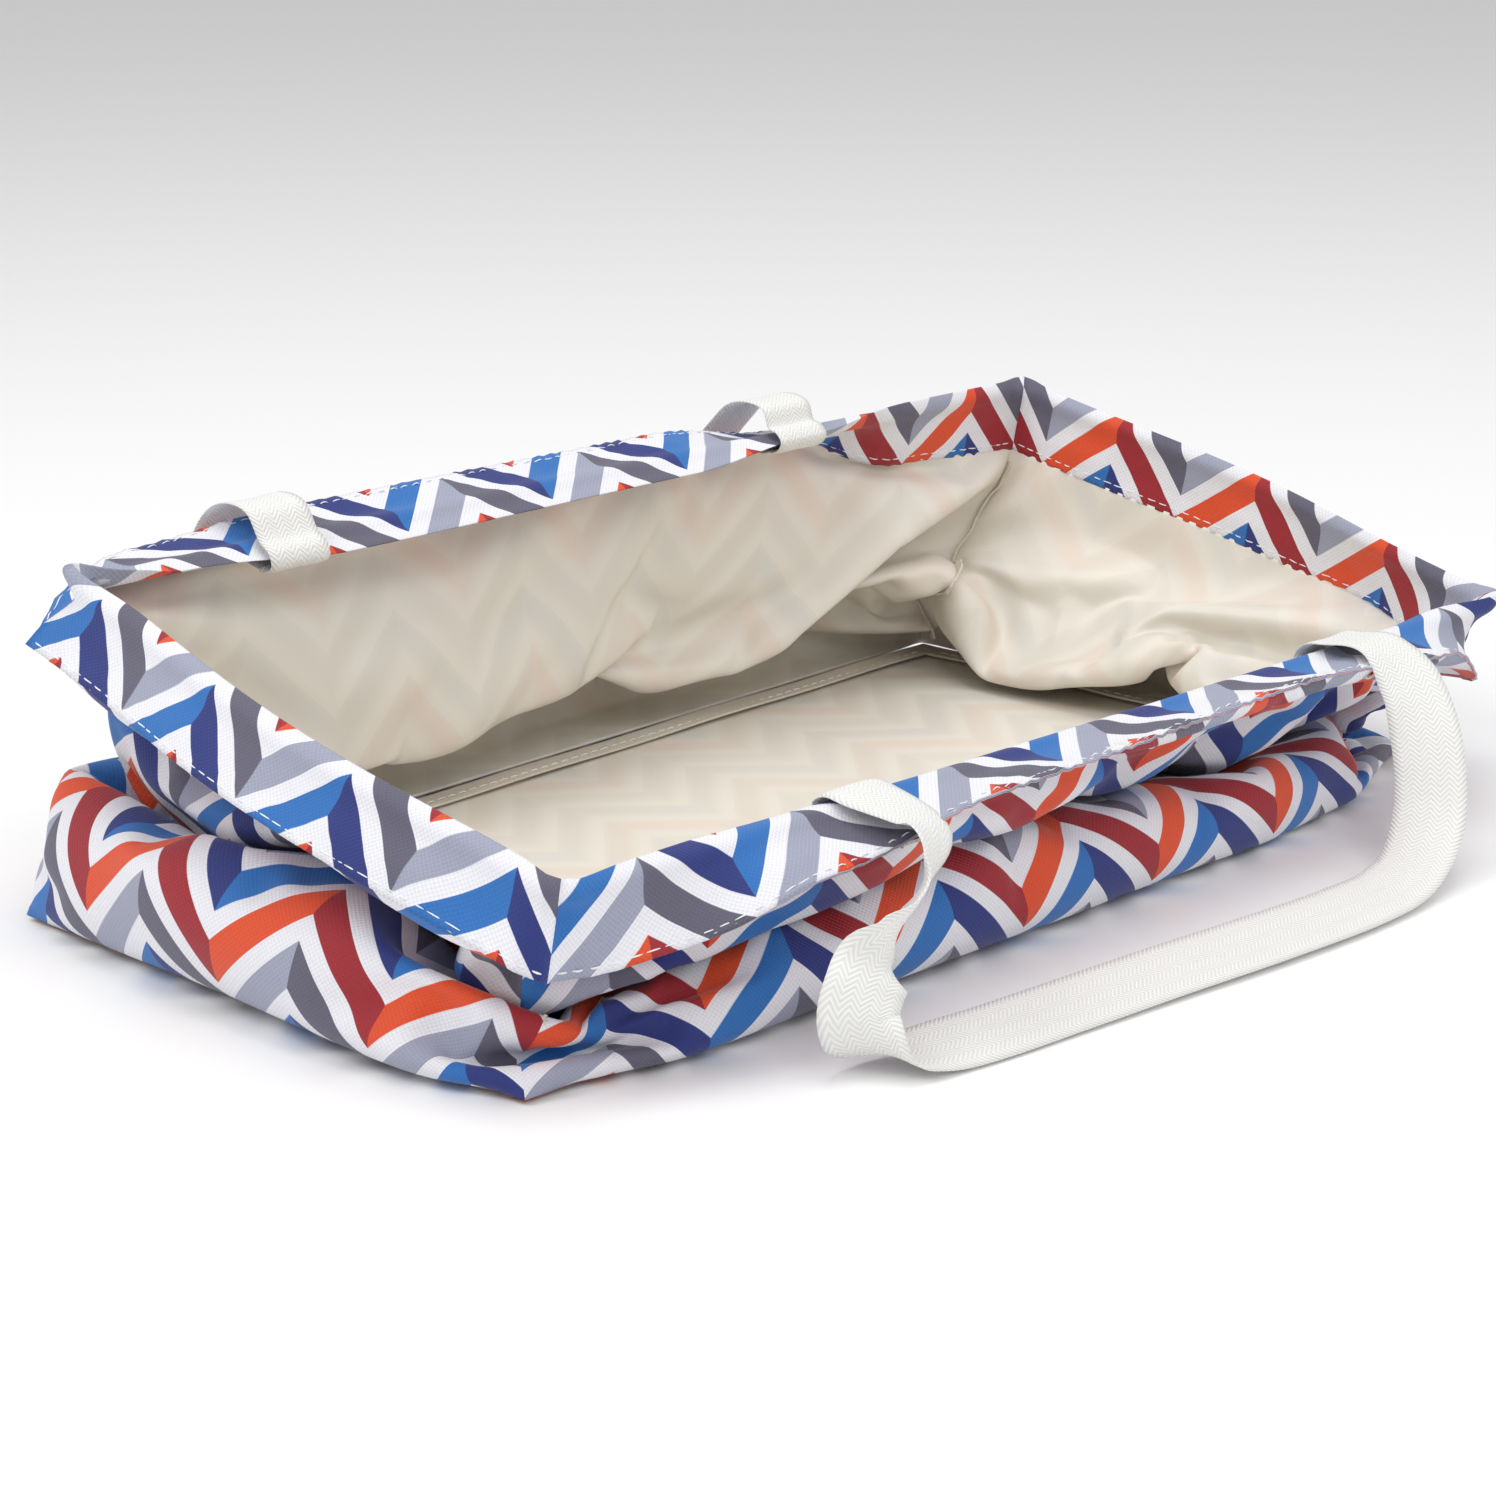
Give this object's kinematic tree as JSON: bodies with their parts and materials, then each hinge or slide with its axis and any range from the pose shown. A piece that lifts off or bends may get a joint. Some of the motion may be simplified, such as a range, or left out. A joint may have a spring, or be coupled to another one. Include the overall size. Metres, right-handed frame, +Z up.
{
  "type": "laundry bag",
  "caption": "Open-top rectangular cloth laundry bag with a wire rim and webbing handles, standing half collapsed on its flat bottom.",
  "frame": {"origin": "centre of the underside of the bottom panel, on the floor", "axes": "+Z up; +X along the bag's length, to the right when its front is seen; -Y out of the front, the side whose handle lies on the floor"},
  "size_m": [0.6862, 0.5211, 0.1679],
  "materials": {
    "printed_cloth": "woven polyester with a zigzag print",
    "lining_tape": "coated cloth, satin",
    "webbing": "herringbone webbing",
    "thread": "polyester thread",
    "steel": "drawn spring wire"
  },
  "bodies": {
    "base": {"bottom_panel": "printed_cloth", "bottom_seam_binding": "lining_tape"},
    "walls": {"wall_front": "printed_cloth", "wall_right": "printed_cloth", "wall_back": "printed_cloth", "wall_left": "printed_cloth", "corner_binding_front_left": "lining_tape", "corner_binding_front_right": "lining_tape", "corner_binding_back_right": "lining_tape", "corner_binding_back_left": "lining_tape"},
    "rim": {"hem_front": "printed_cloth", "hem_right": "printed_cloth", "hem_back": "printed_cloth", "hem_left": "printed_cloth", "topstitch_front": "thread", "topstitch_right": "thread", "topstitch_back": "thread", "topstitch_left": "thread", "rim_wire": "steel", "wire_ferrule": "steel", "handle_end_front_left": "webbing", "handle_end_front_right": "webbing", "handle_end_back_left": "webbing", "handle_end_back_right": "webbing"},
    "front_handle": {"handle_front": "webbing"},
    "back_handle": {"handle_back": "webbing"}
  },
  "joints": [
    {"name": "rim_lift", "type": "slide", "parent": "base", "child": "walls", "axis": [-0.0641, 0.1762, 0.9823], "range_m": [0, 0.1873], "deforming": ["wall_front", "wall_right", "wall_back", "wall_left", "corner_binding_front_left", "corner_binding_front_right", "corner_binding_back_right", "corner_binding_back_left"]},
    {"name": "rim_tilt", "type": "hinge", "parent": "walls", "child": "rim", "pos_m": [0.012, -0.033, 0.116], "axis": [-0.9737, 0.0238, 0.2264], "range_deg": [0, 12.32]},
    {"name": "front_handle_swing", "type": "hinge", "parent": "rim", "child": "front_handle", "pos_m": [0.00471, -0.18199, 0.08429], "axis": [-0.9988, 0.0489, 0], "range_deg": [0, 84]},
    {"name": "back_handle_swing", "type": "hinge", "parent": "rim", "child": "back_handle", "pos_m": [0.01929, 0.11599, 0.14771], "axis": [0.9988, -0.0489, 0], "range_deg": [0, 98]}
  ]
}
